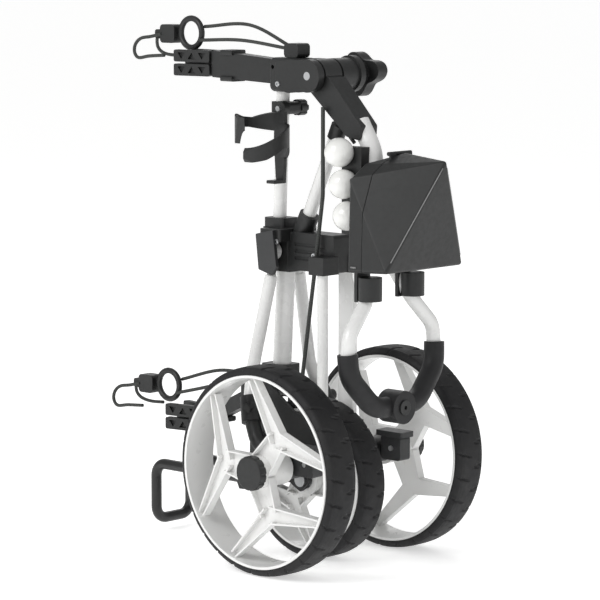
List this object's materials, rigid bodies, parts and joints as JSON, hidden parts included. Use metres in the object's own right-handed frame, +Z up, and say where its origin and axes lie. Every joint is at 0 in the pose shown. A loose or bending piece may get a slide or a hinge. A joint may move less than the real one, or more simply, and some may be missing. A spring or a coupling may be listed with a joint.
{
  "type": "golf push trolley",
  "caption": "Folded push trolley for a golf bag, with moulded wheels, tubular frame, bag brackets, drink holder and console.",
  "frame": {"origin": "on the floor, at the middle of the folded footprint; the rear axle lies 112.3 mm towards -Y", "axes": "+X along the rear axle, +Y towards the golf-bag side, +Z up"},
  "size_m": [0.357, 0.6534, 0.7925],
  "materials": {
    "white_paint": "gloss powder coat",
    "white_plastic": "moulded gloss",
    "tyre_rubber": "matte",
    "ball_white": "gloss, dimpled",
    "steel": "brushed",
    "grip_rubber": "matte",
    "cord_black": "woven sheath",
    "black_paint": "satin",
    "grey_plastic": "fine grain",
    "black_plastic": "fine grain"
  },
  "bodies": {
    "frame": {"bag_cords": "cord_black", "bag_foot_loop": "black_paint", "bag_pads": "black_plastic", "base_frame": "black_plastic", "bracket_cover": "grey_plastic", "brake_cable": "cord_black", "cord_anchors": "black_plastic", "cord_hooks": "black_plastic", "cup_holder_bolt": "steel", "cup_holder_clip": "black_plastic", "fork_pins": "steel", "handle_pin": "steel", "left_brace_tube": "white_paint", "leg_pins": "steel", "lower_bag_arm": "black_plastic", "lower_main_tube": "white_paint", "mid_bracket": "black_plastic", "pull_rings": "black_plastic", "right_brace_bar": "white_paint", "strut_end_cap": "black_plastic", "top_hinge_block": "black_plastic", "upper_bag_arm": "black_plastic", "upper_main_tube": "white_paint", "upper_strut": "white_paint"},
    "handle": {"handle_leg": "black_plastic", "handle_frame": "white_paint", "handle_grip": "grip_rubber", "console_tray": "black_plastic", "console_clamp": "black_plastic", "ball_holder": "black_plastic", "golf_balls": "ball_white"},
    "console_lid": {"console_lid": "black_plastic"},
    "brake_button": {"brake_button": "black_plastic"},
    "clamp_knob": {"clamp_knob": "black_plastic"},
    "cup_holder": {"cup_holder": "black_plastic"},
    "cup_knob": {"cup_holder_knob": "black_plastic"},
    "front_fork": {"fork_blades": "black_plastic", "front_axle": "steel", "front_axle_nuts": "steel"},
    "front_wheel": {"front_tyre": "tyre_rubber", "front_rim": "white_plastic", "front_bearings": "steel"},
    "left_leg": {"left_leg_tube": "white_paint", "left_leg_knuckle": "black_plastic", "left_rear_axle": "steel", "left_brake_housing": "grey_plastic"},
    "left_wheel": {"left_rear_tyre": "tyre_rubber", "left_rear_rim": "white_plastic", "left_rear_bearings": "steel"},
    "left_cap": {"left_hub_cap": "black_plastic"},
    "left_brake_pin": {"left_brake_pin": "steel"},
    "right_leg": {"right_leg_tube": "white_paint", "right_leg_knuckle": "black_plastic", "right_rear_axle": "steel", "right_brake_housing": "grey_plastic"},
    "right_wheel": {"right_rear_tyre": "tyre_rubber", "right_rear_rim": "white_plastic", "right_rear_bearings": "steel"},
    "right_cap": {"right_hub_cap": "black_plastic"},
    "right_brake_pin": {"right_brake_pin": "steel"}
  },
  "joints": [
    {"name": "handle_fold", "type": "hinge", "parent": "frame", "child": "handle", "pos_m": [0, -0.0903, 0.712], "axis": [-1, 0, 0], "range_deg": [0, 115]},
    {"name": "clamp_knob_turn", "type": "hinge", "parent": "frame", "child": "clamp_knob", "pos_m": [0.088, -0.0903, 0.712], "axis": [1, 0, 0], "range_deg": [-180, 180]},
    {"name": "console_lid_open", "type": "hinge", "parent": "handle", "child": "console_lid", "pos_m": [0, -0.2403, 0.607], "axis": [-1, 0, 0], "range_deg": [0, 95]},
    {"name": "brake_button_press", "type": "slide", "parent": "handle", "child": "brake_button", "axis": [0, 1, 0], "range_m": [0, 0.003], "stiffness_N_per_m": 800},
    {"name": "cup_holder_tilt", "type": "hinge", "parent": "frame", "child": "cup_holder", "pos_m": [-0.02, -0.02736, 0.662], "axis": [1, 0, 0], "range_deg": [0, 30]},
    {"name": "cup_knob_turn", "type": "hinge", "parent": "frame", "child": "cup_knob", "pos_m": [0.02, -0.02736, 0.662], "axis": [1, 0, 0], "range_deg": [-180, 180]},
    {"name": "front_fork_fold", "type": "hinge", "parent": "frame", "child": "front_fork", "pos_m": [0, -0.0063, 0.176], "axis": [1, 0, 0], "range_deg": [0, 40]},
    {"name": "front_wheel_spin", "type": "hinge", "parent": "front_fork", "child": "front_wheel", "pos_m": [0, -0.0793, 0.119], "axis": [1, 0, 0], "continuous": true},
    {"name": "left_leg_fold", "type": "hinge", "parent": "frame", "child": "left_leg", "pos_m": [-0.027, -0.0163, 0.452], "axis": [-1, 0, 0], "range_deg": [0, 45]},
    {"name": "left_wheel_spin", "type": "hinge", "parent": "left_leg", "child": "left_wheel", "pos_m": [-0.139, -0.1123, 0.152], "axis": [1, 0, 0], "continuous": true},
    {"name": "left_cap_release", "type": "slide", "parent": "left_wheel", "child": "left_cap", "axis": [-1, 0, 0], "range_m": [0, 0.003], "stiffness_N_per_m": 900},
    {"name": "left_brake_pin_slide", "type": "slide", "parent": "left_leg", "child": "left_brake_pin", "axis": [-1, 0, 0], "range_m": [0, 0.006]},
    {"name": "right_leg_fold", "type": "hinge", "parent": "frame", "child": "right_leg", "pos_m": [0.027, -0.0163, 0.452], "axis": [-1, 0, 0], "range_deg": [0, 45]},
    {"name": "right_wheel_spin", "type": "hinge", "parent": "right_leg", "child": "right_wheel", "pos_m": [0.139, -0.1123, 0.152], "axis": [1, 0, 0], "continuous": true},
    {"name": "right_cap_release", "type": "slide", "parent": "right_wheel", "child": "right_cap", "axis": [1, 0, 0], "range_m": [0, 0.003], "stiffness_N_per_m": 900},
    {"name": "right_brake_pin_slide", "type": "slide", "parent": "right_leg", "child": "right_brake_pin", "axis": [1, 0, 0], "range_m": [0, 0.006]}
  ],
  "couplings": [
    {"joint": "left_leg_fold", "follows": "handle_fold", "ratio": 0.39},
    {"joint": "right_leg_fold", "follows": "handle_fold", "ratio": 0.39},
    {"joint": "front_fork_fold", "follows": "handle_fold", "ratio": 0.345},
    {"joint": "left_brake_pin_slide", "follows": "brake_button_press", "ratio": 2},
    {"joint": "right_brake_pin_slide", "follows": "brake_button_press", "ratio": 2}
  ]
}
